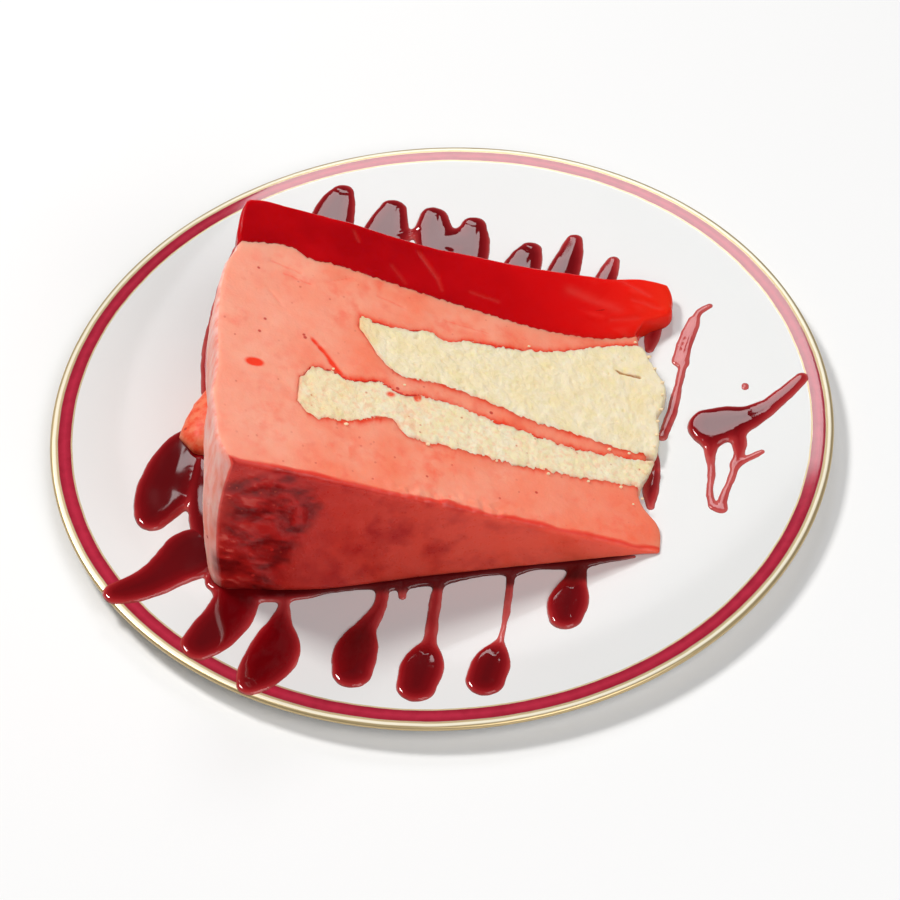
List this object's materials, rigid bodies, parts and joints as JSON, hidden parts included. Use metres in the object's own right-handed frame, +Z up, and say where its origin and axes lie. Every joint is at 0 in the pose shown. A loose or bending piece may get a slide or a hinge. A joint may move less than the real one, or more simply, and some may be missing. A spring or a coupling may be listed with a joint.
{
  "type": "jelly-topped mousse cake slice on plate",
  "caption": "A wedge of moulded berry mousse cake with a set red jelly layer and sponge layers, lying on its cut side on a round dessert plate drizzled with dark berry sauce",
  "frame": {"origin": "centre of the plate's foot, on the surface the plate stands on", "axes": "+Z is up, along the plate's axis; +X runs from the cake's rim side to the slice's tip; +Y runs from the cake's base to its jelly layer"},
  "size_m": [0.202, 0.202, 0.0573],
  "materials": {
    "porcelain": "glazed white porcelain with a burgundy band, gold lines and dark red sauce drizzled on it",
    "red_jelly": "clear bright red set jelly with a wet surface",
    "berry_mousse": "salmon-pink set berry mousse, smooth and slightly moist",
    "sponge": "pale yellow open-crumbed sponge cake"
  },
  "bodies": {
    "root": {"plate": "porcelain", "jelly": "red_jelly", "mousse": "berry_mousse", "sponge_thick": "sponge", "sponge_thin": "sponge"}
  },
  "joints": []
}
